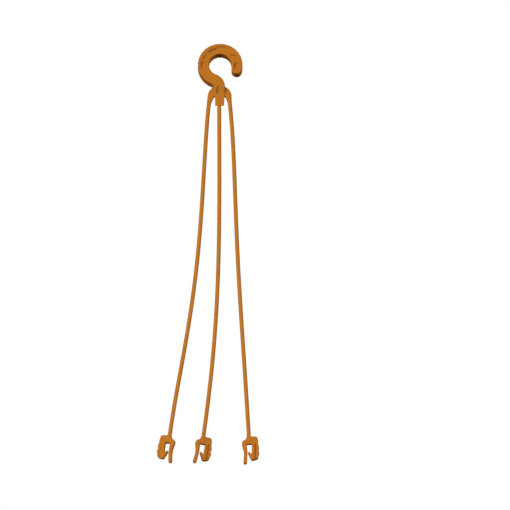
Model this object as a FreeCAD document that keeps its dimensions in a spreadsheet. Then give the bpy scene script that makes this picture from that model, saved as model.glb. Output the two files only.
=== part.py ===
import FreeCAD, Part
import Sketcher
import math
import os

# Three-strand hanging-pot hanger moulded in one flexible plastic: a crook with
# a stem, two shoulders, three jointed strands and a clip on each strand.
# Frame: origin at the centre of the crook's inner circle, where the rail or
# ceiling hook bears, +X to the crook's open side, +Z up, parting plane Y = 0,
# front at -Y.  Millimetres and degrees.

doc = FreeCAD.newDocument("PotHanger")
sheet = doc.addObject("Spreadsheet::Sheet", "Dims")
SIZE = {}
BODIES = []


def dim(name, value):
    """Put a number in the sheet once, under an alias, and return it."""
    if name not in SIZE:
        row = len(SIZE) + 1
        cell = "B%d" % row
        SIZE[name] = round(float(value), 6)
        sheet.set("A%d" % row, name)
        sheet.set(cell, repr(SIZE[name]))
        sheet.setAlias(cell, name)
    return SIZE[name]


def bind(obj, prop, name):
    obj.setExpression(prop, "Dims." + name)


# ------------------------------------------------------------ crook and stem
CROOK_OUT = dim("crook_outer_rad", 20.1)
CROOK_IN = dim("crook_inner_rad", 10.14)
CROOK_T = dim("crook_thickness", 10.2)
dim("crook_edge_rad", 0.9)
TIP_RAD = dim("crook_tip_rad", 4.7)
TIP_ANGLE = dim("crook_tip_angle", -15.5)
CROOK_END_ANGLE = dim("crook_end_angle", 247.0)
NECK_RAD = dim("neck_bend_rad", 12.5)
NECK_RIGHT = dim("neck_right_edge", 4.3)
STEM_RIGHT = dim("stem_right_edge", 3.5)
STEM_LEFT = dim("stem_left_edge", -4.6)
STEM_END = dim("stem_bottom", -38.9)
STEM_CORNER = dim("stem_corner_rad", 2.0)
# where the crook's underside turns into the stem; the left shoulder starts here
STEM_TOP = (dim("stem_top_x", -6.6), dim("stem_top_z", -21.5))
# where the stem's left edge becomes upright
STEM_UPRIGHT_Z = dim("stem_upright_z", -26.5)

# Taper of the stem's front and back, as half thicknesses and heights
TAPER_TOP_Z = dim("taper_top_z", -19.5)
TAPER_MID_Z = dim("taper_mid_z", -28.5)
TAPER_LOW_Z = dim("taper_low_z", STEM_END - 0.6)
TAPER_MID_HALF = dim("stem_mid_half", 2.35)
TAPER_END_HALF = dim("stem_end_half", 1.85)
TAPER_OUT_HALF = dim("taper_outer_half", CROOK_T / 2 + 1.1)
dim("taper_width", 24.0)
# Wedge cut from the stem's underside
UNDER_FRONT = dim("under_front_y", -2.95)
UNDER_BACK = dim("under_back_y", 2.9)
UNDER_RISE = dim("under_rise", 2.41)
CENTRE_ROOT_Z = dim("centre_root_top", STEM_END + 3.0)

# ----------------------------------------------------------------- shoulders
dim("shoulder_thickness", 4.4)
dim("shoulder_edge_rad", 0.7)
SHOULDER_END = dim("shoulder_bottom", -40.2)
SIDE_ROOT_Z = dim("side_root_top", -38.4)
NECK_EDGE_Z = dim("neck_edge_z", -21.1)
RIGHT_CROTCH_Z = dim("right_crotch_z", -29.45)

# ------------------------------------------------------------------- strands
STRAND = dim("strand_rad", 1.75)
dim("socket_gap", 0.1)
TWIST_GAP = dim("twist_gap", 0.08)
AXIS_HALF = 5.0     # half length of the construction line a strand bends about

# Heights of the flexure centres, crook to clip, the same on every strand.
FLEX = [dim("flexure_one", -44.0), dim("flexure_two", -84.0),
        dim("flexure_three", -150.0), dim("flexure_four", -240.0),
        dim("flexure_five", -356.0)]

LEGS = ("left", "centre", "right")
# Strand centre lines: height z, then x of the left, centre and right strand.
STATIONS = [
    (-38, -10.44, -0.90, 8.82), (-46, -11.13, -0.88, 9.58),
    (-64, -12.45, -0.82, 10.91), (-88, -13.90, -0.76, 12.13),
    (-112, -15.22, -0.74, 13.02), (-136, -16.62, -0.82, 13.83),
    (-160, -18.28, -1.04, 14.70), (-184, -20.33, -1.48, 15.72),
    (-208, -22.85, -2.20, 16.91), (-232, -25.88, -3.24, 18.24),
    (-256, -29.38, -4.67, 19.68), (-280, -33.24, -6.50, 21.17),
    (-304, -37.28, -8.74, 22.65), (-328, -41.23, -11.38, 24.08),
    (-352, -44.75, -14.37, 25.46), (-357, -45.39, -15.02, 25.75)]

# --------------------------------------------------------------------- clips
# Local frame of a clip: origin at the strand's end (the twist centre), Z up
# the strand, X to the gripping side, -Y to the face with the open channel.
CLIP_T = dim("clip_thickness", 3.8)
dim("clip_edge_rad", 0.35)
WEB_T = dim("clip_web_thickness", 2.8)
KNUCKLE = dim("gate_knuckle_rad", 2.05)
KNUCKLE_GAP = dim("gate_knuckle_gap", 0.1)
HINGE_X = dim("gate_hinge_x", -3.85)
HINGE_Z = dim("gate_hinge_z", -10.85)
CLIP_TOP_Z = dim("clip_block_top", -2.4)
LIP_Z = dim("clip_window_top", -9.85)
WINDOW_X = dim("clip_window_right", 2.75)
NOTCH_RAD = dim("clip_notch_rad", 0.5)
BARB_SUM = dim("clip_barb_sum", -16.85)     # x + z along the barb's 45 degree top
GROOVE_X = dim("clip_groove_left", 5.1)
GRIP_X = dim("clip_grip_left", 6.5)
SIDE_X = dim("clip_side_x", 8.45)
TOE_Z = dim("clip_toe_z", -24.5)
CHANNEL_LOW_Z = dim("channel_low_z", -26.0)
CHANNEL_OVERRUN = dim("channel_overrun", 1.0)
dim("channel_depth", CLIP_T - WEB_T + CHANNEL_OVERRUN)
STUB_LOW_Z = dim("clip_stub_low_z", -4.6)

WAIST_LEFT = (dim("waist_left_x", -4.12), dim("waist_left_z", -17.57))
WAIST_RIGHT = (dim("waist_right_x", -1.095), dim("waist_right_z", -17.07))
WAIST_LEFT_RAD = dim("waist_left_rad", 16.0)
WAIST_RIGHT_RAD = dim("waist_right_rad", 30.0)
TONGUE_TIP = (dim("tongue_tip_x", -3.17), dim("tongue_tip_z", -27.28))
TONGUE_TIP_RAD = dim("tongue_tip_rad", 1.57)

# Pose of each clip.  lift: height above the last flexure; tilt: turn about Y
# in the hanger's plane; twist: turn about the clip's own Z; splay: turn of the
# tongue about its hinge.
CLIP_POSE = {
    "left": {"lift": 1.1, "tilt": 8.0, "twist": 163.5, "splay": 3.5},
    "centre": {"lift": 0.0, "tilt": 8.5, "twist": 12.0, "splay": 3.5},
    "right": {"lift": 0.0, "tilt": 0.0, "twist": 0.0, "splay": 0.0}}
for leg, pose in CLIP_POSE.items():
    for part in pose:
        pose[part] = dim("clip_%s_%s" % (part, leg), pose[part])


# ------------------------------------------------------------------ geometry
def polar(centre_x, centre_z, radius, degrees):
    angle = math.radians(degrees)
    return centre_x + radius * math.cos(angle), centre_z + radius * math.sin(angle)


def line_x(leg, z):
    """Strand centre line by a cubic through four neighbouring stations."""
    column = LEGS.index(leg) + 1
    count = len(STATIONS)
    first = 0
    while first < count - 2 and STATIONS[first + 1][0] > z:
        first += 1
    first = max(0, min(count - 4, first - 1))
    near = STATIONS[first:first + 4]
    total = 0.0
    for station in near:
        weight = 1.0
        for other in near:
            if other is not station:
                weight *= (z - other[0]) / float(station[0] - other[0])
        total += weight * station[column]
    return total


def arc_centre(start, middle, end):
    """Centre of the circle through three (x, z) points."""
    (ax, az), (bx, bz), (cx, cz) = start, middle, end
    a_sq, b_sq, c_sq = ax * ax + az * az, bx * bx + bz * bz, cx * cx + cz * cz
    scale = 2 * (ax * (bz - cz) + bx * (cz - az) + cx * (az - bz))
    return ((a_sq * (bz - cz) + b_sq * (cz - az) + c_sq * (az - bz)) / scale,
            (a_sq * (cx - bx) + b_sq * (ax - cx) + c_sq * (bx - ax)) / scale)


def tangent_point(point, centre, radius, side):
    """Where the line from a point touches a circle; side +1 or -1."""
    dx, dz = point[0] - centre[0], point[1] - centre[1]
    angle = math.atan2(dz, dx) + side * math.acos(radius / math.hypot(dx, dz))
    return centre[0] + radius * math.cos(angle), centre[1] + radius * math.sin(angle)


def corner_arc(before, corner, after, radius):
    """Start, middle and end of an arc that rounds a corner."""
    def unit(dx, dz):
        length = math.hypot(dx, dz)
        return dx / length, dz / length

    def step(direction, distance):
        return corner[0] + direction[0] * distance, corner[1] + direction[1] * distance

    back = unit(before[0] - corner[0], before[1] - corner[1])
    ahead = unit(after[0] - corner[0], after[1] - corner[1])
    half = 0.5 * math.acos(back[0] * ahead[0] + back[1] * ahead[1])
    reach = radius / math.tan(half)
    inward = unit(back[0] + ahead[0], back[1] + ahead[1])
    return (step(back, reach), step(inward, radius / math.sin(half) - radius),
            step(ahead, reach))


# ---------------------------------------------------------- sketches, features
def new_body(name):
    body = doc.addObject("PartDesign::Body", name)
    body.Label = name
    BODIES.append(body)
    return body


def plane_of(body, role):
    return [f for f in body.Origin.OriginFeatures if f.Role == role][0]


def new_sketch(body, name, role="XZ_Plane"):
    sketch = body.newObject("Sketcher::SketchObject", name)
    sketch.AttachmentSupport = (plane_of(body, role), [""])
    sketch.MapMode = "FlatFace"
    return sketch


def end_at(sketch, index, x, y):
    """Which end (1 or 2) of a sketch element lies at a point."""
    def distance(end):
        point = sketch.getPoint(index, end)
        return math.hypot(point.x - x, point.y - y)
    return min((1, 2), key=distance)


def drive(sketch, alias, *constraint):
    """Add a dimension to a sketch, named after and bound to its alias."""
    index = sketch.addConstraint(Sketcher.Constraint(*constraint, SIZE[alias]))
    sketch.renameConstraint(index, alias)
    bind(sketch, "Constraints." + alias, alias)


def outline(sketch, key, points):
    """Closed loop of (tag, across, up) vertices.  Two more numbers after a
    vertex make the span to the next vertex an arc through them."""
    following = points[1:] + points[:1]
    for point, after in zip(points, following):
        start = FreeCAD.Vector(point[1], point[2], 0)
        end = FreeCAD.Vector(after[1], after[2], 0)
        if len(point) == 5:
            middle = FreeCAD.Vector(point[3], point[4], 0)
            sketch.addGeometry(Part.Arc(start, middle, end), False)
        else:
            sketch.addGeometry(Part.LineSegment(start, end), False)
    for i, after in enumerate(following):
        j = (i + 1) % len(points)
        sketch.addConstraint(Sketcher.Constraint(
            "Coincident", i, end_at(sketch, i, after[1], after[2]),
            j, end_at(sketch, j, after[1], after[2])))
    for i, point in enumerate(points):
        end = end_at(sketch, i, point[1], point[2])
        prefix = "%s_%s" % (key, point[0])
        dim(prefix + "_x", point[1])
        drive(sketch, prefix + "_x", "DistanceX", -1, 1, i, end)
        dim(prefix + "_z", point[2])
        drive(sketch, prefix + "_z", "DistanceY", -1, 1, i, end)
        if len(point) == 5:
            dim(prefix + "_arc", sketch.Geometry[i].Radius)
            drive(sketch, prefix + "_arc", "Radius", i)


def extrude(body, kind, sketch, name, alias, side_type="Symmetric"):
    """Pad or Pocket of a sketch, its length bound to an alias."""
    feature = body.newObject("PartDesign::" + kind, name)
    feature.Profile = sketch
    feature.SideType = side_type
    bind(feature, "Length", alias)
    sketch.Visibility = False
    body.Tip = feature
    doc.recompute()
    return feature


ROUNDED = {}    # edge names by outline key, so that like pieces share them


def rim_edges(shape, radius, half):
    """Names of the edges to round on the flat faces at Y = +-half.  Short
    edges and edges whose rounding would not close are left sharp."""
    rim = []
    for i, edge in enumerate(shape.Edges):
        box = edge.BoundBox
        if abs(box.YMax - box.YMin) < 1e-6 and abs(abs(box.YMax) - half) < 1e-6:
            rim.append((round(edge.Length, 3), i))
    rim = [i for length, i in sorted(rim, reverse=True) if length > 1.2 * radius]

    def works(indices):
        # guards against edge sets the kernel cannot fillet
        try:
            trial = shape.makeFillet(radius, [shape.Edges[i] for i in indices])
            return (trial.isValid() and len(trial.Solids) == 1
                    and 0.8 * shape.Volume < trial.Volume < shape.Volume)
        except Exception:
            return False

    good = rim
    if not works(rim):
        good = []
        for i in rim:
            if works(good + [i]):
                good.append(i)
    return ["Edge%d" % (i + 1) for i in good]


def round_rims(body, base, name, alias, half, key):
    if key not in ROUNDED:
        ROUNDED[key] = rim_edges(base.Shape, SIZE[alias], half)
    edges = list(ROUNDED[key])
    if not edges:
        return
    fillet = body.newObject("PartDesign::Fillet", name)
    fillet.Base = (base, edges)
    bind(fillet, "Radius", alias)
    doc.recompute()
    # drop the shortest edges until the feature closes
    while len(edges) > 1 and not (fillet.Shape.isValid() and len(fillet.Shape.Solids) == 1):
        edges = edges[:-1]
        fillet.Base = (base, edges)
        doc.recompute()


def plate(name, key, points, part):
    """New body: an outline padded about Y = 0 with rounded rims, sized by the
    aliases part_thickness and part_edge_rad."""
    body = new_body(name)
    sketch = new_sketch(body, name + "_outline")
    outline(sketch, key, points)
    base = extrude(body, "Pad", sketch, name + "_pad", part + "_thickness")
    half = SIZE[part + "_thickness"] / 2
    round_rims(body, base, name + "_edges", part + "_edge_rad", half, key)
    body.Tip = body.Group[-1]
    return body


def sphere(body, kind, name, x, z, radius):
    feature = body.newObject("PartDesign::%sSphere" % kind, name)
    feature.setExpression("Radius", radius)
    feature.Placement = FreeCAD.Placement(FreeCAD.Vector(x, 0, z), FreeCAD.Rotation())
    doc.recompute()
    body.Tip = feature


def ball(body, name, x, z):
    sphere(body, "Additive", name, x, z, "Dims.strand_rad")


def socket(body, name, x, z):
    sphere(body, "Subtractive", name, x, z, "Dims.strand_rad + Dims.socket_gap")


def rod(body, name, start, direction, length):
    """Straight rod of the strand's radius, from a point along a direction."""
    feature = body.newObject("PartDesign::AdditiveCylinder", name)
    bind(feature, "Radius", "strand_rad")
    dim(name + "_length", length)
    bind(feature, "Height", name + "_length")
    feature.Placement = FreeCAD.Placement(
        FreeCAD.Vector(*start),
        FreeCAD.Rotation(FreeCAD.Vector(0, 0, 1), FreeCAD.Vector(*direction)))
    doc.recompute()
    body.Tip = feature


def strand_root(body, leg, top_z):
    """Root of a strand, ending in the socket of its first flexure."""
    low_x, low_z = line_x(leg, FLEX[0]), FLEX[0]
    across, rise = line_x(leg, top_z) - low_x, top_z - low_z
    rod(body, leg + "_root", (low_x, 0, low_z), (across, 0, rise), math.hypot(across, rise))
    socket(body, leg + "_socket", low_x, low_z)


# ------------------------------------------------------------ crook and stem
def hook_points():
    # neck bend: its circle touches the inner circle from outside
    neck_x = NECK_RIGHT - NECK_RAD
    neck_z = -math.sqrt((CROOK_IN + NECK_RAD) ** 2 - neck_x ** 2)
    inner_end = math.degrees(math.atan2(neck_z, neck_x)) + 360
    # tip: half round, touching the outer circle from inside
    tip_x, tip_z = polar(0, 0, CROOK_OUT - TIP_RAD, TIP_ANGLE)
    corner_z = STEM_END + STEM_CORNER
    left_x, right_x = STEM_LEFT + STEM_CORNER, STEM_RIGHT - STEM_CORNER
    return [
        ("tip_out", *polar(0, 0, CROOK_OUT, TIP_ANGLE),
         *polar(0, 0, CROOK_OUT, (TIP_ANGLE + CROOK_END_ANGLE) / 2)),
        ("low_left", *polar(0, 0, CROOK_OUT, CROOK_END_ANGLE)),
        ("stem_top", *STEM_TOP),
        ("stem_mid", STEM_LEFT, STEM_UPRIGHT_Z),
        ("stem_low", STEM_LEFT, corner_z, *polar(left_x, corner_z, STEM_CORNER, 225)),
        ("base_left", left_x, STEM_END),
        ("base_right", right_x, STEM_END, *polar(right_x, corner_z, STEM_CORNER, -45)),
        ("stem_right", STEM_RIGHT, corner_z),
        ("neck_low", NECK_RIGHT, neck_z, *polar(neck_x, neck_z, NECK_RAD, 33)),
        ("neck_top", *polar(0, 0, CROOK_IN, inner_end), *polar(0, 0, CROOK_IN, inner_end / 2)),
        ("tip_in_top", CROOK_IN, 0.001),
        ("tip_in_low", tip_x - TIP_RAD, tip_z, *polar(tip_x, tip_z, TIP_RAD, -105)),
    ]


def taper_stem(body):
    """Thin the stem from the crook's thickness to little more than a strand."""
    sketch = new_sketch(body, "stem_taper", "YZ_Plane")
    outline(sketch, "taper_front", [
        ("top_inner", -CROOK_T / 2, TAPER_TOP_Z),
        ("top_outer", -TAPER_OUT_HALF, TAPER_TOP_Z),
        ("low_outer", -TAPER_OUT_HALF, TAPER_LOW_Z),
        ("low_inner", -TAPER_END_HALF, TAPER_LOW_Z),
        ("mid_inner", -TAPER_MID_HALF, TAPER_MID_Z)])
    cut = extrude(body, "Pocket", sketch, "stem_taper_cut", "taper_width")
    mirror = body.newObject("PartDesign::Mirrored", "stem_taper_back")
    mirror.Originals = [cut]
    mirror.MirrorPlane = (plane_of(body, "XZ_Plane"), [""])
    body.Tip = mirror
    doc.recompute()


def slope_underside(body):
    """Slope the stem's underside up towards the back."""
    sketch = new_sketch(body, "stem_under", "YZ_Plane")
    outline(sketch, "under", [
        ("front", UNDER_FRONT, TAPER_LOW_Z),
        ("back_low", UNDER_BACK, TAPER_LOW_Z),
        ("back_high", UNDER_BACK, TAPER_LOW_Z + UNDER_RISE)])
    extrude(body, "Pocket", sketch, "stem_under_cut", "taper_width")


def make_hook():
    body = plate("hook", "hook", hook_points(), "crook")
    taper_stem(body)
    slope_underside(body)
    strand_root(body, "centre", CENTRE_ROOT_Z)


# ----------------------------------------------------------------- shoulders
def stem_right_x(z):
    """The stem's right edge, from the neck down."""
    drop = (z - NECK_EDGE_Z) / (STEM_END + STEM_CORNER - NECK_EDGE_Z)
    return NECK_RIGHT + (STEM_RIGHT - NECK_RIGHT) * drop


# Outlines: tag, x, z and, where the span is an arc, x and z of a point on it.
SHOULDERS = {
    "left": [
        ("top", *STEM_TOP, -9.7, -24.1),
        ("outer_high", -11.3, -28.6),
        ("outer_mid", -11.85, -34.4),
        ("outer_low", -12.3, SHOULDER_END),
        ("inner_low", -8.95, SHOULDER_END),
        ("inner_mid", -8.35, -37.0, -7.3, -33.75),
        ("inner_high", -6.2, -31.0, -5.5, -29.9),
        ("crotch", STEM_LEFT, -29.65),
        ("stem_edge", STEM_LEFT, STEM_UPRIGHT_Z)],
    "right": [
        ("neck_edge", NECK_RIGHT, NECK_EDGE_Z),
        ("top", NECK_RIGHT + 0.5, -20.5, 8.7, -24.0),
        ("outer_high", 10.25, -29.6),
        ("outer_mid", 10.45, -35.0),
        ("outer_low", 10.8, SHOULDER_END),
        ("inner_low", 7.4, SHOULDER_END),
        ("inner_mid", 6.95, -37.0, 6.15, -33.6),
        ("inner_high", 5.1, -30.8, 4.5, -29.7),
        ("crotch", stem_right_x(RIGHT_CROTCH_Z), RIGHT_CROTCH_Z)]}


def make_shoulder(leg):
    name = "shoulder_" + leg
    body = plate(name, name, SHOULDERS[leg], "shoulder")
    strand_root(body, leg, SIDE_ROOT_Z)


# ------------------------------------------------------------------- strands
def section_sketch(body, name, bend_alias):
    """Strand section at the origin and the upright line it is revolved about."""
    bend_x = SIZE[bend_alias]
    sketch = new_sketch(body, name + "_section", "XY_Plane")
    sketch.addGeometry(
        Part.Circle(FreeCAD.Vector(0, 0, 0), FreeCAD.Vector(0, 0, 1), STRAND), False)
    drive(sketch, "strand_rad", "Radius", 0)
    sketch.addConstraint(Sketcher.Constraint("Coincident", 0, 3, -1, 1))
    sketch.addGeometry(Part.LineSegment(FreeCAD.Vector(bend_x, -AXIS_HALF, 0),
                                        FreeCAD.Vector(bend_x, AXIS_HALF, 0)), True)
    sketch.addConstraint(Sketcher.Constraint("Vertical", 1))
    drive(sketch, bend_alias, "DistanceX", -1, 1, 1, 1)
    sketch.addConstraint(Sketcher.Constraint("DistanceY", 1, 1, -1, 1, AXIS_HALF))
    sketch.addConstraint(Sketcher.Constraint("DistanceY", -1, 1, 1, 2, AXIS_HALF))
    return sketch


def make_segment(leg, number):
    """Strand piece 1 to 4: a round bar bent to a circular arc, a ball at its
    upper flexure and a socket (or a flat end at the clip) at its lower.
    Local frame: origin at the upper flexure, Z back up the strand."""
    last = number == 4
    top_z = FLEX[number - 1]
    low_z = FLEX[number] + (CLIP_POSE[leg]["lift"] if last else 0.0)
    mid_z = (top_z + low_z) / 2.0
    top, middle, low = [(line_x(leg, z), z) for z in (top_z, mid_z, low_z)]
    centre_x, centre_z = arc_centre(top, middle, low)
    bend = math.hypot(top[0] - centre_x, top_z - centre_z)
    side = 1.0 if centre_x > top[0] else -1.0       # bend centre to +X or -X
    slope = math.atan2(side * (top_z - centre_z), abs(top[0] - centre_x))
    chord = math.hypot(low[0] - top[0], low_z - top_z)
    sweep = 2 * math.asin(chord / (2 * bend))

    name = "strand_%s_%d" % (leg, number)
    body = new_body(name)
    dim(name + "_bend_rad", side * bend)
    dim(name + "_sweep", math.degrees(sweep - (TWIST_GAP / bend if last else 0.0)))
    sketch = section_sketch(body, name, name + "_bend_rad")
    bar = body.newObject("PartDesign::Revolution", name + "_bar")
    bar.Profile = sketch
    bar.ReferenceAxis = (sketch, ["Axis0"])
    bind(bar, "Angle", name + "_sweep")
    sketch.Visibility = False
    doc.recompute()
    # the bar has to run down from the upper flexure
    if bar.Shape.BoundBox.ZMax > 5:
        bar.Reversed = True
        doc.recompute()
    ball(body, name + "_ball", 0, 0)
    if not last:
        socket(body, name + "_socket",
               side * bend * (1 - math.cos(sweep)), -bend * math.sin(sweep))
    body.Placement = FreeCAD.Placement(
        FreeCAD.Vector(top[0], 0, top_z),
        FreeCAD.Rotation(FreeCAD.Vector(0, 1, 0), math.degrees(slope)))


# --------------------------------------------------------------------- clips
def frame_points():
    # the lip cuts across the round seat of the knuckle
    seat = KNUCKLE + KNUCKLE_GAP
    seat_half = math.sqrt(seat ** 2 - (LIP_Z - HINGE_Z) ** 2)
    # notch: tangent to the window's right wall and to the barb's top
    notch_x = WINDOW_X - NOTCH_RAD
    notch_z = BARB_SUM - notch_x + NOTCH_RAD * math.sqrt(2.0)
    barb_x = 0.6
    return [
        ("neck", -1.70, -3.2, -2.75, -5.05),
        ("cheek", -4.7, -6.3, -5.95, -7.9),
        ("lip", -6.05, LIP_Z),
        ("seat_left", HINGE_X - seat_half, LIP_Z, HINGE_X, HINGE_Z + seat),
        ("seat_right", HINGE_X + seat_half, LIP_Z),
        ("window_top", WINDOW_X, LIP_Z),
        ("notch_top", WINDOW_X, notch_z, *polar(notch_x, notch_z, NOTCH_RAD, -67)),
        ("notch_end", *polar(notch_x, notch_z, NOTCH_RAD, 225)),
        ("barb_top", barb_x, BARB_SUM - barb_x, -0.38, -17.45),
        ("barb_tip", -0.75, -18.4),
        ("barb_low", -0.1, -19.7),
        ("heel", 1.75, -23.9, 2.5, -25.0),
        ("base", 3.6, -25.35),
        ("toe", GRIP_X, TOE_Z),
        ("seam", GRIP_X, LIP_Z),
        ("side", SIDE_X, LIP_Z, 8.55, -7.2),
        ("side_top", 8.1, -5.0, 7.55, -3.2),
        ("top_right", 5.7, CLIP_TOP_Z),
        ("top_left", 1.3, CLIP_TOP_Z),
        ("throat", -0.6, CLIP_TOP_Z),
    ]


def cut_channel(body, name):
    """Channel open at the front and the bottom, closed behind by the web."""
    sketch = new_sketch(body, name + "_channel")
    right_x = GRIP_X + CHANNEL_OVERRUN
    outline(sketch, "channel", [
        ("top_left", GROOVE_X, LIP_Z), ("top_right", right_x, LIP_Z),
        ("low_right", right_x, CHANNEL_LOW_Z), ("low_left", GROOVE_X, CHANNEL_LOW_Z)])
    # the sketch lies on the web's front face; its normal is -Y
    sketch.AttachmentOffset = FreeCAD.Placement(
        FreeCAD.Vector(0, 0, WEB_T - CLIP_T / 2), FreeCAD.Rotation())
    cut = extrude(body, "Pocket", sketch, name + "_channel_cut", "channel_depth", "One side")
    # turn the cut round if it has left material at the front
    probe = Part.makeBox(1.0, 1.0, 4.0, FreeCAD.Vector(GROOVE_X + 0.2, -CLIP_T / 2, -16))
    if cut.Shape.common(probe).Volume > 1e-6:
        cut.Reversed = not cut.Reversed
        doc.recompute()


def clip_frame(name):
    body = plate(name, "frame", frame_points(), "clip")
    cut_channel(body, name)
    # stub of the strand above the block
    rod(body, name + "_stub", (0, 0, STUB_LOW_Z), (0, 0, 1), -STUB_LOW_Z - TWIST_GAP)
    return body


def clip_grip(name):
    """Strip with a waved outer side, along the frame's gripping edge."""
    return plate(name, "grip", [
        ("top", GRIP_X, LIP_Z),
        ("top_out", SIDE_X, LIP_Z),
        ("wave_one", 8.5, -10.4, 9.25, -13.0),
        ("wave_two", 8.6, -15.75, 9.35, -18.3),
        ("wave_three", 8.5, -20.8, 8.45, -22.6),
        ("low", 7.4, -24.05),
        ("foot", GRIP_X, TOE_Z)], "clip")


def clip_tongue(name):
    """Knuckle, waist and rounded tip; every line runs tangent into its arcs."""
    hinge = (HINGE_X, HINGE_Z)
    head_left = tangent_point(WAIST_LEFT, hinge, KNUCKLE, -1)
    head_right = tangent_point(WAIST_RIGHT, hinge, KNUCKLE, 1)
    tip_left = tangent_point(WAIST_LEFT, TONGUE_TIP, TONGUE_TIP_RAD, 1)
    tip_right = tangent_point(WAIST_RIGHT, TONGUE_TIP, TONGUE_TIP_RAD, -1)
    left = corner_arc(head_left, WAIST_LEFT, tip_left, WAIST_LEFT_RAD)
    right = corner_arc(tip_right, WAIST_RIGHT, head_right, WAIST_RIGHT_RAD)
    return plate(name, "tongue", [
        ("head_left", *head_left),
        ("waist_left", *left[0], *left[1]),
        ("side_left", *left[2]),
        ("tip_left", *tip_left, TONGUE_TIP[0], TONGUE_TIP[1] - TONGUE_TIP_RAD),
        ("tip_right", *tip_right),
        ("side_right", *right[0], *right[1]),
        ("waist_right", *right[2]),
        ("head_right", *head_right, HINGE_X, HINGE_Z + KNUCKLE)], "clip")


def make_clip(leg):
    pose = CLIP_POSE[leg]
    upright, across = FreeCAD.Vector(0, 0, 1), FreeCAD.Vector(0, 1, 0)
    end_z = FLEX[4] + pose["lift"]
    tilt = FreeCAD.Rotation(across, pose["tilt"])
    twist = FreeCAD.Rotation(upright, pose["twist"])
    place = FreeCAD.Placement(FreeCAD.Vector(line_x(leg, end_z), 0, end_z),
                              tilt.multiply(twist))
    splay = FreeCAD.Placement(
        FreeCAD.Vector(0, 0, 0), FreeCAD.Rotation(across, pose["splay"]),
        FreeCAD.Vector(HINGE_X, 0, HINGE_Z))
    clip_frame("clip_%s_frame" % leg).Placement = place
    clip_grip("clip_%s_grip" % leg).Placement = place
    clip_tongue("clip_%s_tongue" % leg).Placement = place.multiply(splay)


def find_problems():
    problems = []
    for obj in doc.Objects:
        if "Invalid" in obj.State or "Error" in obj.State:
            problems.append("%s state %s" % (obj.Name, obj.State))
        if obj.TypeId == "Sketcher::SketchObject" and not obj.FullyConstrained:
            problems.append("%s is not fully constrained" % obj.Name)
    for body in BODIES:
        if body.Shape.isNull() or not body.Shape.isValid():
            problems.append("%s shape" % body.Name)
        elif len(body.Shape.Solids) != 1:
            problems.append("%s has %d solids" % (body.Name, len(body.Shape.Solids)))
    return problems


make_hook()
for leg in ("left", "right"):
    make_shoulder(leg)
for leg in LEGS:
    for number in (1, 2, 3, 4):
        make_segment(leg, number)
    make_clip(leg)
doc.recompute()

problems = find_problems()
if problems:
    raise SystemExit("\n".join(problems))

os.makedirs("parts", exist_ok=True)
for body in BODIES:
    body.Shape.exportStep(os.path.join("parts", body.Label + ".step"))
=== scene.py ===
# A hanging crook in orange polypropylene. Three long strands run down from its stem and
# shoulders, each ending in a clip with a tongue. It lies in the XZ plane with its front
# to -Y, left at -X, and the crook's centre at the origin. Shapes are in millimetres,
# the stage, lights and camera in metres.
import math

import bmesh
import bpy
import numpy as np
from mathutils import Matrix, Vector


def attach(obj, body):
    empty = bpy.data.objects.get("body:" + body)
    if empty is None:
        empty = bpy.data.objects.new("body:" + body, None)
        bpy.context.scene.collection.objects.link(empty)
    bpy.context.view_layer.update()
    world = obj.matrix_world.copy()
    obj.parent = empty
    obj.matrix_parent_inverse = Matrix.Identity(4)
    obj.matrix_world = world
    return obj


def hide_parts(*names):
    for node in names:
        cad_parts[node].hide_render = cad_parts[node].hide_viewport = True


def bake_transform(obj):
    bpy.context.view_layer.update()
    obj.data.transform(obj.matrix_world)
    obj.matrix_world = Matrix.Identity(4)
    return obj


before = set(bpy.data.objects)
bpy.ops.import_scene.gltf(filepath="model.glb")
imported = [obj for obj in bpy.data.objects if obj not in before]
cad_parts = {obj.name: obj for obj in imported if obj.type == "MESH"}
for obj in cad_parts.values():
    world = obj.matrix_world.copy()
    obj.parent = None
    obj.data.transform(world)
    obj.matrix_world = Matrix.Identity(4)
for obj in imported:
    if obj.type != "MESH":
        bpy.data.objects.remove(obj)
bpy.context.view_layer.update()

MM = 0.001
LEGS = ("left", "centre", "right")


def add_object(name, data):
    made = bpy.data.objects.new(name, data)
    bpy.context.scene.collection.objects.link(made)
    return made


# ------------------------------------------------------------ strand line
# Centre line of each strand: its x at each height z.
STATION_Z = [-38, -46, -64, -88, -112, -136, -160, -184, -208, -232, -256, -280,
             -304, -328, -352, -357]
STATION_X = {
    "left": [-10.44, -11.13, -12.45, -13.90, -15.22, -16.62, -18.28, -20.33,
             -22.85, -25.88, -29.38, -33.24, -37.28, -41.23, -44.75, -45.39],
    "centre": [-0.90, -0.88, -0.82, -0.76, -0.74, -0.82, -1.04, -1.48, -2.20,
               -3.24, -4.67, -6.50, -8.74, -11.38, -14.37, -15.02],
    "right": [8.82, 9.58, 10.91, 12.13, 13.02, 13.83, 14.70, 15.72, 16.91,
              18.24, 19.68, 21.17, 22.65, 24.08, 25.46, 25.75],
}
STRAND_R = 1.79


def fit_height(z):
    """Height brought to about -1..1, which keeps the fit well behaved."""
    return (z + 200.0) / 160.0


# A least-squares quintic through the stations leaves no kinks.
FIT = {leg: np.polyfit(fit_height(np.array(STATION_Z, float)), STATION_X[leg], 5)
       for leg in LEGS}


def line_x(leg, z):
    return float(np.polyval(FIT[leg], fit_height(z)))


# --------------------------------------------------------------- materials
BASE = (0.490, 0.160, 0.0058, 1.0)
DEEP = (0.415, 0.127, 0.0045, 1.0)
PALE = (0.520, 0.180, 0.0100, 1.0)
# painted shade: the colour that the dents and creases are darkened towards
PAINTED_SHADE = (0.225, 0.062, 0.0045, 1.0)
TRANSLUCENT = (0.56, 0.21, 0.020, 1.0)
SEAM_WIDTH = 0.10     # of the parting line, in the units of the "across" attribute (mm)


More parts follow.
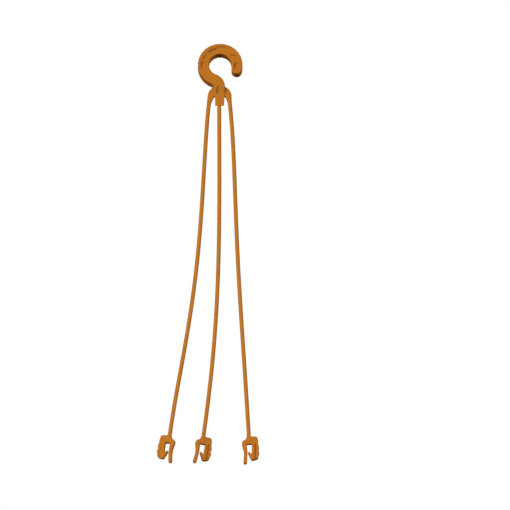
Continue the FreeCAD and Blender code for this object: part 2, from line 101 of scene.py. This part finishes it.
class Nodes:
    """Builds an emptied shader tree; each call returns an output socket."""

    def __init__(self, owner):
        owner.use_nodes = True
        self.tree = owner.node_tree
        self.tree.nodes.clear()

    def add(self, kind, inputs, out=0, **props):
        """New node; inputs maps a socket to a value or to the socket that feeds it."""
        node = self.tree.nodes.new("ShaderNode" + kind)
        for key, value in props.items():
            setattr(node, key, value)
        for key, value in inputs.items():
            if isinstance(value, bpy.types.NodeSocket):
                self.tree.links.new(value, node.inputs[key])
            else:
                node.inputs[key].default_value = value
        return node.outputs[out] if node.outputs else None

    def calc(self, operation, *values):
        return self.add("Math", dict(enumerate(values)), operation=operation)

    def place_noise(self, seed):
        """Object coordinates for the noises, shifted by the seed."""
        coords = self.add("TexCoord", {}, out="Object")
        shift = (seed, seed * 0.7, seed * 1.3)
        self.coords = self.add("Mapping", {"Location": shift, "Vector": coords})

    def noise(self, scale, detail, rough, distort=0.0):
        return self.add("TexNoise", {"Scale": scale, "Detail": detail, "Roughness": rough,
                                     "Distortion": distort, "Vector": self.coords})

    def ramp(self, source, low, high, to_low=0.0, to_high=1.0):
        return self.add("MapRange", {"From Min": low, "From Max": high, "To Min": to_low,
                                     "To Max": to_high, "Value": source})

    def mix(self, factor, first, second):
        return self.add("Mix", {0: factor, 6: first, 7: second}, out=2, data_type="RGBA")

    def tint(self, colour, mask, amount, towards):
        return self.mix(self.calc("MULTIPLY", mask, amount), colour, towards)

    def bump(self, height, strength, distance, below=None):
        inputs = {"Strength": strength, "Distance": distance, "Height": height}
        if below is not None:
            inputs["Normal"] = below
        return self.add("Bump", inputs)


def moulded_colour(nodes, marks):
    """Flow streaks, paler clouds and rubbed edges, specks, and painted shade in the dents and
    creases.
    """
    edges = nodes.add("NewGeometry", {}, out="Pointiness")
    flow = nodes.noise(scale=55.0, detail=5.0, rough=0.6, distort=1.6)
    clouds = nodes.noise(scale=16.0, detail=3.0, rough=0.5, distort=0.4)
    colour = nodes.tint(BASE, nodes.ramp(flow, low=0.42, high=0.72), 0.22 * marks, DEEP)
    colour = nodes.tint(colour, nodes.ramp(clouds, low=0.45, high=0.75), 0.15, PALE)
    colour = nodes.tint(colour, nodes.ramp(edges, low=0.53, high=0.62), 0.15, PALE)
    specks = nodes.noise(scale=1400.0, detail=2.0, rough=0.5)
    colour = nodes.tint(colour, nodes.ramp(specks, low=0.68, high=0.76), 0.08, DEEP)
    # painted shade: the shaded slopes of the dents and the creases beside the stem, darkened
    # into the colour
    dent_shade = nodes.add("Attribute", {}, out="Fac", attribute_name="painted_shade_mask")
    broken = nodes.noise(scale=420.0, detail=4.0, rough=0.65, distort=0.6)
    broken_dent_shade = nodes.calc("MULTIPLY", dent_shade, nodes.ramp(broken, low=0.05, high=0.50))
    return nodes.tint(colour, broken_dent_shade, 0.92, PAINTED_SHADE)


def seam_line(nodes, strength):
    """Parting line: a hair-fine bell curve about the middle plane, y = 0."""
    across = nodes.add("Attribute", {}, out="Fac", attribute_name="across")
    squared = nodes.calc("MULTIPLY", across, across)
    falloff = nodes.calc("MULTIPLY", squared, -1.0 / (SEAM_WIDTH ** 2))
    return nodes.calc("MULTIPLY", nodes.calc("EXPONENT", falloff), strength)


def relief(nodes, grain, seam):
    """Fine tool grain, then soft waves, then the raised seam. Distances in metres."""
    fine = nodes.noise(scale=2600.0, detail=2.0, rough=0.6)
    wave = nodes.noise(scale=260.0, detail=2.0, rough=0.5)
    normal = nodes.bump(fine, strength=0.05 * grain, distance=0.00002)
    normal = nodes.bump(wave, strength=0.12, distance=0.00006, below=normal)
    return nodes.bump(seam, strength=0.6, distance=0.00008, below=normal)


def plastic(name, grain, marks, seed, seam_strength=1.0, thin=0.0):
    """Satin moulded polypropylene with a little gloss variation."""
    material = bpy.data.materials.new(name)
    nodes = Nodes(material)
    nodes.place_noise(seed)
    colour = moulded_colour(nodes, marks)
    seam = seam_line(nodes, seam_strength)
    colour = nodes.tint(colour, seam, 0.30, DEEP)
    if thin:
        # thin sections let a little light through and look paler
        colour = nodes.mix(thin, colour, TRANSLUCENT)
    gloss = nodes.noise(scale=240.0, detail=3.0, rough=0.6)
    shader = nodes.add("BsdfPrincipled", {
        "Base Color": colour,
        "Roughness": nodes.ramp(gloss, low=0.3, high=0.7, to_low=0.46, to_high=0.58),
        "IOR": 1.49,
        "Specular IOR Level": 0.18,
        "Normal": relief(nodes, grain, seam),
    })
    nodes.add("OutputMaterial", {0: shader})
    return material


MATERIALS = {
    "crook": plastic("pp_crook", grain=1.0, marks=0.9, seed=0.0),
    "strand": plastic("pp_strand", grain=0.8, marks=0.5, seed=0.37, seam_strength=0.0,
                      thin=0.25),
    "clip": plastic("pp_clip", grain=1.0, marks=0.6, seed=0.81),
}
for name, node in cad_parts.items():
    kind = name.split("_")[0] if name.startswith(("strand", "clip")) else "crook"
    kind = next((word for word in ("strand", "clip") if kind.startswith(word)), "crook")
    node.data.materials.clear()
    node.data.materials.append(MATERIALS[kind])


# --------------------------------------------------------------- outlines
# An outline is a closed loop in XZ. An entry (x, z) starts a straight side; an
# entry (x, z, through x, through z) starts an arc to the next entry.
def arc_points(start, through, end, step):
    """Points from start to end on the circle through all three, end left out."""
    ax, az = start
    bx, bz = through
    cx, cz = end
    twice_area = 2 * (ax * (bz - cz) + bx * (cz - az) + cx * (az - bz))
    a_sq, b_sq, c_sq = ax * ax + az * az, bx * bx + bz * bz, cx * cx + cz * cz
    mid_x = (a_sq * (bz - cz) + b_sq * (cz - az) + c_sq * (az - bz)) / twice_area
    mid_z = (a_sq * (cx - bx) + b_sq * (ax - cx) + c_sq * (bx - ax)) / twice_area
    radius = math.hypot(ax - mid_x, az - mid_z)
    first, middle, last = (math.atan2(z - mid_z, x - mid_x) for x, z in (start, through, end))
    full = 2 * math.pi
    sweep = (last - first) % full
    if (middle - first) % full > sweep:
        sweep -= full
    count = max(2, int(math.ceil(abs(math.degrees(sweep)) / step)))
    angles = [first + sweep * i / count for i in range(count)]
    return [(mid_x + radius * math.cos(a), mid_z + radius * math.sin(a)) for a in angles]


def outline(entries, step=6.0):
    """Outline as an array of points, its arcs cut about every step degrees."""
    points = []
    for i, entry in enumerate(entries):
        following = entries[(i + 1) % len(entries)]
        if len(entry) == 4:
            points += arc_points(entry[:2], entry[2:], following[:2], step)
        else:
            points.append(entry)
    return np.array(points, float)


# ---------------------------------------------------------- field modelling
# Shapes are signed distances in millimetres, joined with small fillets and
# turned into one quad mesh each.
def outline_distance(shape, x, z):
    nearest = np.full(x.shape, 1e9)
    inside = np.zeros(x.shape, bool)
    for (ax, az), (bx, bz) in zip(shape, np.roll(shape, -1, 0)):
        side_x, side_z = bx - ax, bz - az
        off_x, off_z = x - ax, z - az
        along = np.clip((off_x * side_x + off_z * side_z)
                        / (side_x * side_x + side_z * side_z + 1e-12), 0, 1)
        nearest = np.minimum(nearest, (off_x - side_x * along) ** 2
                             + (off_z - side_z * along) ** 2)
        spans = (az <= z) != (bz <= z)
        if spans.any():
            inside ^= spans & (x < off_z * side_x / side_z + ax)
    dist = np.sqrt(nearest)
    return np.where(inside, -dist, dist)


def extrude(flat, y, half, edge):
    """Outline distance made a plate of half thickness, its edges rounded by edge."""
    side, face = flat + edge, np.abs(y) - half + edge
    outside = np.hypot(np.maximum(side, 0), np.maximum(face, 0))
    return np.minimum(np.maximum(side, face), 0) + outside - edge


def smooth_min(first, second, fillet):
    blend = np.maximum(fillet - np.abs(first - second), 0) / fillet
    return np.minimum(first, second) - blend * blend * fillet * 0.25


def smooth_max(first, second, fillet):
    return -smooth_min(-first, -second, fillet)


def rod(points, path, radius):
    """Distance to a round rod along a path of points."""
    nearest = np.full(len(points), 1e9)
    for start, end in zip(path, path[1:]):
        start = np.array(start, float)
        run = np.array(end, float) - start
        offset = points - start
        along = np.clip(offset @ run / (run @ run), 0, 1)
        nearest = np.minimum(nearest, np.linalg.norm(offset - along[:, None] * run, axis=1))
    return nearest - radius


def ease(value, low, high):
    """Smooth step from 0 at low to 1 at high."""
    part = np.clip((value - low) / (high - low), 0, 1)
    return part * part * (3 - 2 * part)


# ------------------------------------------------------------ surface nets
CHUNK = 400000        # grid points per field call, to bound memory
SETTLE_PASSES = 3


def edge_crossings(dist, axis):
    """Grid edges along an axis that cross the surface, whether each starts
    inside, and how far along it the crossing lies."""
    last = dist.shape[axis] - 1
    start = dist.take(range(last), axis)
    end = dist.take(range(1, last + 1), axis)
    crosses = (start < 0) != (end < 0)
    with np.errstate(all="ignore"):
        fraction = np.where(crosses, start / (start - end), 0)
    return crosses, start < 0, fraction


def cell_points(crossings, cells):
    """One point per crossed cell, the mean of its crossings, in cell units;
    and the number of each cell's point."""
    total = np.zeros(cells + (3,))
    hits = np.zeros(cells)
    index = np.stack(np.meshgrid(*[np.arange(c) for c in cells], indexing="ij"), -1)
    for axis, (crosses, _, fraction) in enumerate(crossings):
        for shift in ((0, 0), (0, 1), (1, 0), (1, 1)):
            offset = np.insert(shift, axis, 0)
            part = tuple(slice(o, o + c) for o, c in zip(offset, cells))
            weight = crosses[part].astype(float)
            total += weight[..., None] * (index + offset)
            total[..., axis] += weight * fraction[part]
            hits += weight
    used = hits > 0
    number = -np.ones(cells, int)
    number[used] = np.arange(used.sum())
    return total[used] / hits[used][:, None], number


def crossing_quads(crossings, number, count):
    """A quad round every crossed edge, joining the four cells that share it."""
    quads = []
    for axis, (crosses, starts_inside, _) in enumerate(crossings):
        p, q = (axis + 1) % 3, (axis + 2) % 3
        at = np.argwhere(crosses)
        at = at[(at[:, p] > 0) & (at[:, q] > 0)
                & (at[:, p] < count[p] - 1) & (at[:, q] < count[q] - 1)]
        corners = []
        for shift_p, shift_q in ((-1, -1), (0, -1), (0, 0), (-1, 0)):
            cell = at.copy()
            cell[:, p] += shift_p
            cell[:, q] += shift_q
            corners.append(number[tuple(cell.T)])
        faces = np.stack(corners, 1)
        flip = ~starts_inside[tuple(at.T)]
        faces[flip] = faces[flip][:, ::-1]
        quads.append(faces)
    return np.concatenate(quads)


def surface(field, low, high, cell):
    """Quad mesh of field = 0 by surface nets, settled onto the field along its
    gradient. It is open only where the box from low to high cuts the shape."""
    count = [int(math.ceil((high[i] - low[i]) / cell)) + 1 for i in range(3)]
    axes = [low[i] + cell * np.arange(count[i]) for i in range(3)]
    grid = np.stack(np.meshgrid(*axes, indexing="ij"), -1).reshape(-1, 3)
    dist = np.concatenate([field(grid[i:i + CHUNK]) for i in range(0, len(grid), CHUNK)])
    crossings = [edge_crossings(dist.reshape(count), axis) for axis in range(3)]
    verts, number = cell_points(crossings, tuple(c - 1 for c in count))
    verts = verts * cell + np.array(low)
    probe = cell * 0.05
    for _ in range(SETTLE_PASSES):
        dist = field(verts)
        slope = np.stack([field(verts + probe * unit) - field(verts - probe * unit)
                          for unit in np.eye(3)], 1) / (2 * probe)
        steep = np.maximum((slope * slope).sum(1), 0.25)
        verts = verts - slope * np.clip(dist, -cell, cell)[:, None] / steep[:, None]
    return verts, crossing_quads(crossings, number, count)


def skin(name, verts, quads, kind, place=Matrix(), marks=None):
    """Object from a surface; verts in millimetres in the piece's own frame."""
    mesh = bpy.data.meshes.new(name)
    placed = verts @ np.array(place.to_3x3()).T + np.array(place.translation)
    mesh.vertices.add(len(placed))
    mesh.vertices.foreach_set("co", (placed * MM).astype(np.float32).ravel())
    mesh.loops.add(len(quads) * 4)
    mesh.loops.foreach_set("vertex_index", quads.astype(np.int32).ravel())
    mesh.polygons.add(len(quads))
    mesh.polygons.foreach_set("loop_start", np.arange(0, len(quads) * 4, 4, dtype=np.int32))
    mesh.polygons.foreach_set("loop_total", np.full(len(quads), 4, np.int32))
    mesh.update(calc_edges=True)
    mesh.validate()
    # marks carries the painted shade mask; across is the distance from the middle plane
    for key, values in (("painted_shade_mask", marks), ("across", verts[:, 1])):
        if values is not None:
            attribute = mesh.attributes.new(key, "FLOAT", "POINT")
            attribute.data.foreach_set("value", np.asarray(values, np.float32))
    mesh.shade_smooth()
    mesh.materials.append(MATERIALS[kind])
    made = add_object(name, mesh)
    return made


# ------------------------------------------------------------------- crook
R_OUT, R_IN, CROOK_HALF = 20.1, 10.14, 5.1
CROOK_START = math.radians(-15.5)     # outer arc, from the tip round to the stem
CROOK_END = math.radians(247.0)
TIP_R = 4.7
NECK_X, NECK_R = 4.3, 12.5            # arc joining the stem's right side to the inside
STEM_LEFT, STEM_RIGHT, STEM_BOTTOM = -4.6, 3.5, -38.9
STEM_CORNER = 2.0
ROOT_END = -41.6                      # where the roots of the strands are cut off
MARK_DEPTH = 0.22


def polar(radius, angle):
    return radius * math.cos(angle), radius * math.sin(angle)


def crook_outline():
    # the neck arc touches the inner circle from outside
    neck_x = NECK_X - NECK_R
    neck_z = -math.sqrt((R_IN + NECK_R) ** 2 - neck_x ** 2)
    bow_x, bow_z = polar(NECK_R, math.radians(33))
    touch = (neck_x * R_IN / (R_IN + NECK_R), neck_z * R_IN / (R_IN + NECK_R))
    inner_middle = (math.atan2(touch[1], touch[0]) + 2 * math.pi) / 2
    tip_x, tip_z = polar(R_OUT - TIP_R, CROOK_START)
    tip_bow_x, tip_bow_z = polar(TIP_R, math.radians(-105))
    corner = STEM_CORNER
    inset = corner * (1 - math.sqrt(0.5))
    left, right, bottom = STEM_LEFT, STEM_RIGHT, STEM_BOTTOM
    return outline([
        (*polar(R_OUT, CROOK_START), *polar(R_OUT, (CROOK_START + CROOK_END) / 2)),
        polar(R_OUT, CROOK_END),
        (-6.95, -19.2), (-6.6, -21.5), (left, -26.5),
        (left, bottom + corner, left + inset, bottom + inset), (left + corner, bottom),
        (right - corner, bottom, right - inset, bottom + inset), (right, bottom + corner),
        (NECK_X, neck_z, neck_x + bow_x, neck_z + bow_z),
        (*touch, *polar(R_IN, inner_middle)),
        (R_IN, 0.0),
        (tip_x - TIP_R, tip_z, tip_x + tip_bow_x, tip_z + tip_bow_z),
    ], step=4.0)


CROOK = crook_outline()
SHOULDERS = [
    # left
    outline([(-5.6, -20.3), (-6.66, -21.1, -9.7, -24.1), (-11.3, -28.6), (-11.85, -34.4),
             (-12.25, -38.6), (-12.6, -43.0), (-9.1, -43.0), (-8.75, -39.6),
             (-8.3, -37.0, -7.3, -33.75), (-6.2, -31.0, -5.5, -29.9), (-4.2, -29.6),
             (-2.0, -29.6), (-2.0, -20.3)]),
    # right
    outline([(3.0, -20.4), (4.8, -20.5, 8.7, -24.0), (10.25, -29.6), (10.45, -35.0),
             (10.8, -39.5), (11.05, -43.0), (7.65, -43.0), (7.3, -39.6),
             (6.9, -37.0, 6.15, -33.6), (5.1, -30.8, 4.45, -29.6), (3.2, -29.4),
             (1.0, -29.4), (1.0, -20.4)]),
]

# Sink and flow marks of the thick section, on the front face: shallow dents, and the same masks
# paint shade into the colour.
# strength, radius, start and end angle, width, fade angle
ARC_MARKS = [
    (1.00, 15.9, 102, 134, 1.35, 6), (0.75, 17.2, 72, 108, 0.85, 10),
    (0.95, 16.2, 141, 161, 1.15, 5), (1.30, 16.8, 169, 192, 0.85, 8),
]
# strength, centre x, centre z, length, width, turn in degrees
OVAL_MARKS = [
    (0.80, -15.3, 2.1, 2.1, 0.6, 0), (0.90, 11.2, 9.1, 2.9, 0.8, -12),
    (1.35, 13.3, -0.9, 3.4, 0.85, 82), (0.70, 15.2, 1.4, 1.9, 0.6, 0),
    (1.15, -2.5, -24.2, 3.3, 0.95, 80),
    # painted shadow in the creases beside the stem, where the shoulders meet it
    (1.30, 4.85, -23.6, 3.4, 0.6, 96), (1.20, -6.75, -20.6, 1.1, 0.6, -45),
]


def arc_mark(x, z, radius, start, end, width, fade):
    angle = np.degrees(np.arctan2(z, x)) % 360.0
    along = (ease(angle, start - fade, start + fade)
             * (1 - ease(angle, end - fade, end + fade)))
    return along * np.exp(-(((np.hypot(x, z) - radius) / width) ** 2))


def oval_mark(x, z, mid_x, mid_z, length, width, turn):
    cos, sin = polar(1.0, math.radians(turn))
    along = (x - mid_x) * cos + (z - mid_z) * sin
    across = -(x - mid_x) * sin + (z - mid_z) * cos
    return np.exp(-((along / length) ** 4)) * np.exp(-((across / width) ** 2))


# one mask for the dent depth and for the painted shade
def dents_and_painted_shade(x, z):
    marks = [strength * arc_mark(x, z, *shape) for strength, *shape in ARC_MARKS]
    marks += [strength * oval_mark(x, z, *shape) for strength, *shape in OVAL_MARKS]
    return np.maximum.reduce(marks)


def head_field(points):
    x, y, z = points.T
    # the crook thins down the stem
    half = np.interp(-z, (19.5, 28.5, 39.5), (CROOK_HALF, 2.35, 1.85))
    dent = np.where(y < 0, dents_and_painted_shade(x, z), 0.0) * MARK_DEPTH
    dist = extrude(outline_distance(CROOK, x, z), y, half - dent,
                   edge=0.95 - 0.35 * ease(-z, 26, 34))
    # the stem's underside slopes up towards the back; 0.925 makes it a true distance
    dist = smooth_max(dist, (-38.05 - z + 0.412 * y) * 0.925, fillet=0.4)
    # the shoulders thin and round off towards the strands
    down = ease(-z, 26, 40)
    for shoulder in SHOULDERS:
        plate = extrude(outline_distance(shoulder, x, z), y, half=2.2 - 0.45 * down,
                        edge=0.9 + 0.82 * down)
        dist = smooth_min(dist, plate, fillet=0.6)
    root = [(line_x("centre", height), 0, height) for height in (-34.0, -38.0, -45.0)]
    dist = smooth_min(dist, rod(points, root, STRAND_R), fillet=1.0)
    return np.maximum(dist, ROOT_END - z)


def build_head():
    verts, quads = surface(head_field, low=(-21, -6, -43), high=(21, 6, 21), cell=0.28)
    x, y, z = verts.T
    # the front-face masks also go to the colour as painted shade
    head = skin("crook_and_shoulders", verts, quads, "crook",
                marks=np.where(y < -1.0, dents_and_painted_shade(x, z), 0.0))
    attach(head, "head")
    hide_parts("hook", "shoulder_left", "shoulder_right")


build_head()

# -------------------------------------------------------------------- clips
# Each clip is modelled in its own frame, the strand coming down to the origin.
CLIP_HALF = 1.9
FRAME = outline([
    (-1.70, -3.2, -2.75, -5.05), (-4.7, -6.3, -5.95, -7.9), (-6.05, -9.85), (-6.0, -10.8),
    (-1.78, -10.8), (-1.75, -9.85), (2.75, -9.85),
    (2.75, -18.4, 2.446, -18.85), (1.896, -18.75), (0.6, -17.45, -0.38, -17.45),
    (-0.75, -18.4), (-0.1, -19.7), (1.75, -23.9, 2.5, -25.0), (3.6, -25.35), (6.7, -24.5),
    (6.7, -9.5), (8.45, -9.5, 8.55, -7.2), (8.1, -5.0, 7.55, -3.2), (5.7, -2.4), (-0.6, -2.4)])
GRIP = outline([
    (6.5, -8.8), (8.47, -8.8), (8.5, -10.4, 9.3, -13.0), (8.55, -15.75, 9.45, -18.3),
    (8.5, -20.8, 8.55, -22.6), (7.4, -24.05), (6.5, -24.52)])
TONGUE = outline([
    (-6.03, -9.55), (-6.03, -10.75), (-5.3, -13.4), (-4.65, -15.8, -4.42, -18.0), (-4.38, -20.5),
    (-4.78, -27.0, -3.14, -28.95), (-1.5, -27.2), (-1.15, -20.0, -1.17, -16.5), (-1.52, -13.4),
    (-1.76, -10.75), (-1.74, -9.55)])
HINGE = Vector((-3.85, 0, -10.85))
# Channel beside the grip, cut into the -Y face
CHANNEL_X, CHANNEL_HALF = 5.85, 0.90
CHANNEL_TOP, CHANNEL_BOTTOM = -9.7, -30
# z of the frame's origin, tilt about Y, twist about Z, splay of the tongue, in degrees
CLIPS = {
    "left": (-354.9, 8.0, 163.5, 3.5),
    "centre": (-356.0, 8.5, 12.0, 3.5),
    "right": (-356.0, 0.0, 0.0, 0.0),
}


def frame_field(points):
    x, y, z = points.T
    dist = extrude(outline_distance(FRAME, x, z), y, CLIP_HALF, edge=0.85)
    # the channel deepens towards the grip
    floor_y = -CLIP_HALF + 0.25 + 0.62 * (x - (CHANNEL_X - CHANNEL_HALF))
    section = np.maximum(np.abs(x - CHANNEL_X) - CHANNEL_HALF, (y - floor_y) * 0.85)
    channel = np.maximum(section, np.maximum(z - CHANNEL_TOP, CHANNEL_BOTTOM - z))
    dist = smooth_max(dist, -channel, fillet=0.25)
    return smooth_min(dist, rod(points, [(0, 0, 2.4), (0, 0, -4.2)], STRAND_R), fillet=1.5)


def grip_field(points):
    x, y, z = points.T
    return extrude(outline_distance(GRIP, x, z), y, CLIP_HALF + 0.02, edge=0.6)


def tongue_field(points):
    x, y, z = points.T
    half = CLIP_HALF + 0.03 - 0.25 * ease(-z, 14, 28)
    return extrude(outline_distance(TONGUE, x, z), y, half, edge=0.95)


CLIP_PARTS = {
    "frame": surface(frame_field, low=(-7, -2.6, -26.4), high=(9.8, 2.6, 1.1), cell=0.2),
    "grip": surface(grip_field, low=(5.5, -2.6, -25.4), high=(10.2, 2.6, -8.0), cell=0.17),
    "tongue": surface(tongue_field, low=(-7, -2.6, -29.8), high=(-0.5, 2.6, -8.8), cell=0.18),
}


def turned(degrees, axis):
    return Matrix.Rotation(math.radians(degrees), 4, axis)


def build_clip(leg):
    height, tilt, twist, splay = CLIPS[leg]
    place = (Matrix.Translation((line_x(leg, height), 0, height))
             @ turned(tilt, "Y") @ turned(twist, "Z"))
    swung = place @ Matrix.Translation(HINGE) @ turned(splay, "Y") @ Matrix.Translation(-HINGE)
    for part, (verts, quads) in CLIP_PARTS.items():
        piece = skin("clip_%s_%s_skin" % (leg, part), verts, quads, "clip",
                     place=swung if part == "tongue" else place)
        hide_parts("clip_%s_%s" % (leg, part))
        if part == "tongue":
            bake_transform(piece)
        else:
            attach(piece, leg + "_clip")


for leg in LEGS:
    build_clip(leg)

# ------------------------------------------------------------ strand skins
RING_STEP = 1.5
SEAM_TURN = 4.0       # degrees from the parting line to the next point round
SEAM_HEIGHT = 0.06
HALF_TURN = [0.0] + [SEAM_TURN + (180.0 - 2 * SEAM_TURN) * i / 11 for i in range(12)]
AROUND = HALF_TURN + [180.0 + angle for angle in HALF_TURN]
STRAND_TOP = {"left": -39.2, "centre": -39.4, "right": -39.2}
TOP_SWELL = 0.03      # extra radius at the top of a strand, gone in SWELL_LENGTH
SWELL_LENGTH = 4.0
INNER_CUTS = [-63.0, -112.0, -193.0]
# heights between which each piece passes from one body to the next
# one pair of heights for each strand piece; only the number of pairs is used
BLENDS = [(-39.6, -61.0), (-65.0, -106.0), (-115.0, -188.0), (-198.0, -286.0)]


def squareness(z):
    """1 along the strand, eased to 0 over 8 mm at its two ends."""
    return min(1.0, max(0.0, (-42.0 - z) / 8.0), max(0.0, (z + 354.0) / 8.0))


def strand_ring(leg, z, base_radius):
    """Slightly squared section, square to the curve, ridged at both sides."""
    x = line_x(leg, z)
    slope = line_x(leg, z + 0.5) - line_x(leg, z - 0.5)
    tangent = Vector((slope, 0, 1.0)).normalized()
    side = Vector((tangent.z, 0, -tangent.x))
    power = 2.0 + 0.5 * squareness(z)
    ring = []
    for degrees in AROUND:
        cos, sin = polar(1.0, math.radians(degrees))
        radius = base_radius * (abs(cos) ** power + abs(sin) ** power) ** (-1.0 / power)
        if degrees in (0.0, 180.0):
            radius += SEAM_HEIGHT
        point = Vector((x, 0, z)) + side * (cos * radius) + Vector((0, sin * radius, 0))
        ring.append(point * MM)
    return ring


def strand_piece(name, leg, top, bottom, swell):
    """Closed length of strand between two heights."""
    count = int((top - bottom) / RING_STEP)
    work = bmesh.new()
    rings = []
    for i in range(count + 1):
        z = top + (bottom - top) * i / count
        radius = STRAND_R + swell * (1 - min(1.0, abs(z - top) / SWELL_LENGTH))
        rings.append([work.verts.new(point) for point in strand_ring(leg, z, radius)])
    for upper, lower in zip(rings, rings[1:]):
        for i in range(len(AROUND)):
            j = (i + 1) % len(AROUND)
            work.faces.new((upper[i], lower[i], lower[j], upper[j]))
    work.faces.new(rings[0])
    work.faces.new(list(reversed(rings[-1])))
    bmesh.ops.recalc_face_normals(work, faces=work.faces)
    work.normal_update()
    mesh = bpy.data.meshes.new(name)
    work.to_mesh(mesh)
    work.free()
    made = add_object(name, mesh)
    mesh.materials.append(MATERIALS["strand"])
    for face in mesh.polygons:
        face.use_smooth = True
    mesh.set_sharp_from_angle(angle=math.radians(50.0))
    return made


def build_strand(leg):
    cuts = [STRAND_TOP[leg], *INNER_CUTS, CLIPS[leg][0] - 0.4]
    for i, (start, end) in enumerate(BLENDS):
        piece = strand_piece("strand_%s_skin_%d" % (leg, i + 1), leg, cuts[i], cuts[i + 1],
                             swell=TOP_SWELL if i == 0 else 0.0)
        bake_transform(piece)
        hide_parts("strand_%s_%d" % (leg, i + 1))


for leg in LEGS:
    build_strand(leg)

# ------------------------------------------------------------------ lights
AIM = Vector((0.0, 0.0, -0.18))
RING_R, RING_Z = 3.5, -0.03
# name, degrees to the right of straight on, watts
RING_LIGHTS = [("key_left", -64.0, 53.0), ("key", -26.0, 52.0), ("key_front", 30.0, 58.0)]
# name, place, side of the square, watts
SOFT_LIGHTS = [
    ("back_key", (0.9, 3.0, 0.5), 1.4, 60.0),
    ("top", (0.0, 0.5, 2.6), 1.6, 9.0),
    ("side", (2.6, 0.8, 0.5), 1.2, 6.0),
]


def area_light(name, place, width, height, watts, colour=(1, 1, 1)):
    light = bpy.data.lights.new(name, "AREA")
    light.shape = "RECTANGLE"
    light.size, light.size_y = width, height
    light.energy = watts
    light.color = colour
    lamp = add_object(name, light)
    lamp.location = place
    lamp.rotation_mode = "QUATERNION"
    lamp.rotation_quaternion = (AIM - Vector(place)).to_track_quat("-Z", "Y")
    lamp.visible_camera = False
    return lamp


# warm soft boxes in front, about level with the crook
for name, degrees, watts in RING_LIGHTS:
    angle = math.radians(degrees)
    area_light(name, (RING_R * math.sin(angle), -RING_R * math.cos(angle), RING_Z),
               width=1.9, height=0.5, watts=watts, colour=(1.0, 0.985, 0.96))
for name, place, side, watts in SOFT_LIGHTS:
    area_light(name, place, side, side, watts).visible_glossy = False


# ---------------------------------------------------------- floor and world
def floor_material():
    material = bpy.data.materials.new("pale_floor")
    nodes = Nodes(material)
    matt = nodes.add("BsdfPrincipled", {"Base Color": (0.86, 0.86, 0.85, 1), "Roughness": 0.8})
    glow = nodes.add("Emission", {"Color": (0.93, 0.93, 0.925, 1), "Strength": 0.75})
    nodes.add("OutputMaterial", {0: nodes.add("AddShader", {0: matt, 1: glow})})
    return material


def build_floor():
    mesh = bpy.data.meshes.new("floor")
    work = bmesh.new()
    bmesh.ops.create_grid(work, x_segments=8, y_segments=8, size=14.0)
    work.to_mesh(mesh)
    work.free()
    floor = add_object("floor", mesh)
    floor.location = (0, 0, -2.0)
    mesh.materials.append(floor_material())
    floor.visible_diffuse = False
    floor.visible_glossy = False


def build_world():
    """White to the camera, a faint warm fill to everything else."""
    world = bpy.data.worlds.new("studio")
    bpy.context.scene.world = world
    nodes = Nodes(world)
    seen = nodes.add("LightPath", {}, out="Is Camera Ray")
    white = nodes.add("Background", {"Color": (1, 1, 1, 1), "Strength": 1.0})
    fill = nodes.add("Background", {"Color": (1.0, 0.98, 0.95, 1), "Strength": 0.07})
    nodes.add("OutputWorld", {0: nodes.add("MixShader", {0: seen, 1: fill, 2: white})})


build_floor()
build_world()

scene = bpy.context.scene
scene.view_settings.view_transform = "Standard"
scene.view_settings.look = "None"
scene.view_settings.exposure = 0.0
scene.view_settings.gamma = 1.0

# ------------------------------------------------------------------ camera
# In front and below, looking up, level across, in parallel projection.
LOOK_UP = math.radians(21.5)
VIEW_WIDTH = 0.459
VIEW_RIGHT, VIEW_DOWN = 0.03132, 0.16974     # view centre from the origin
CAMERA_DISTANCE = 2.2


def build_camera():
    back = Vector((0, -math.cos(LOOK_UP), -math.sin(LOOK_UP)))
    up = Vector((0, -math.sin(LOOK_UP), math.cos(LOOK_UP)))
    lens = bpy.data.cameras.new("camera")
    lens.type = "ORTHO"
    lens.ortho_scale = VIEW_WIDTH
    lens.clip_start, lens.clip_end = 0.01, 50.0
    camera = add_object("camera", lens)
    camera.location = Vector((VIEW_RIGHT, 0, 0)) - up * VIEW_DOWN + back * CAMERA_DISTANCE
    camera.rotation_mode = "QUATERNION"
    camera.rotation_quaternion = (-back).to_track_quat("-Z", "Y")
    scene.camera = camera


build_camera()
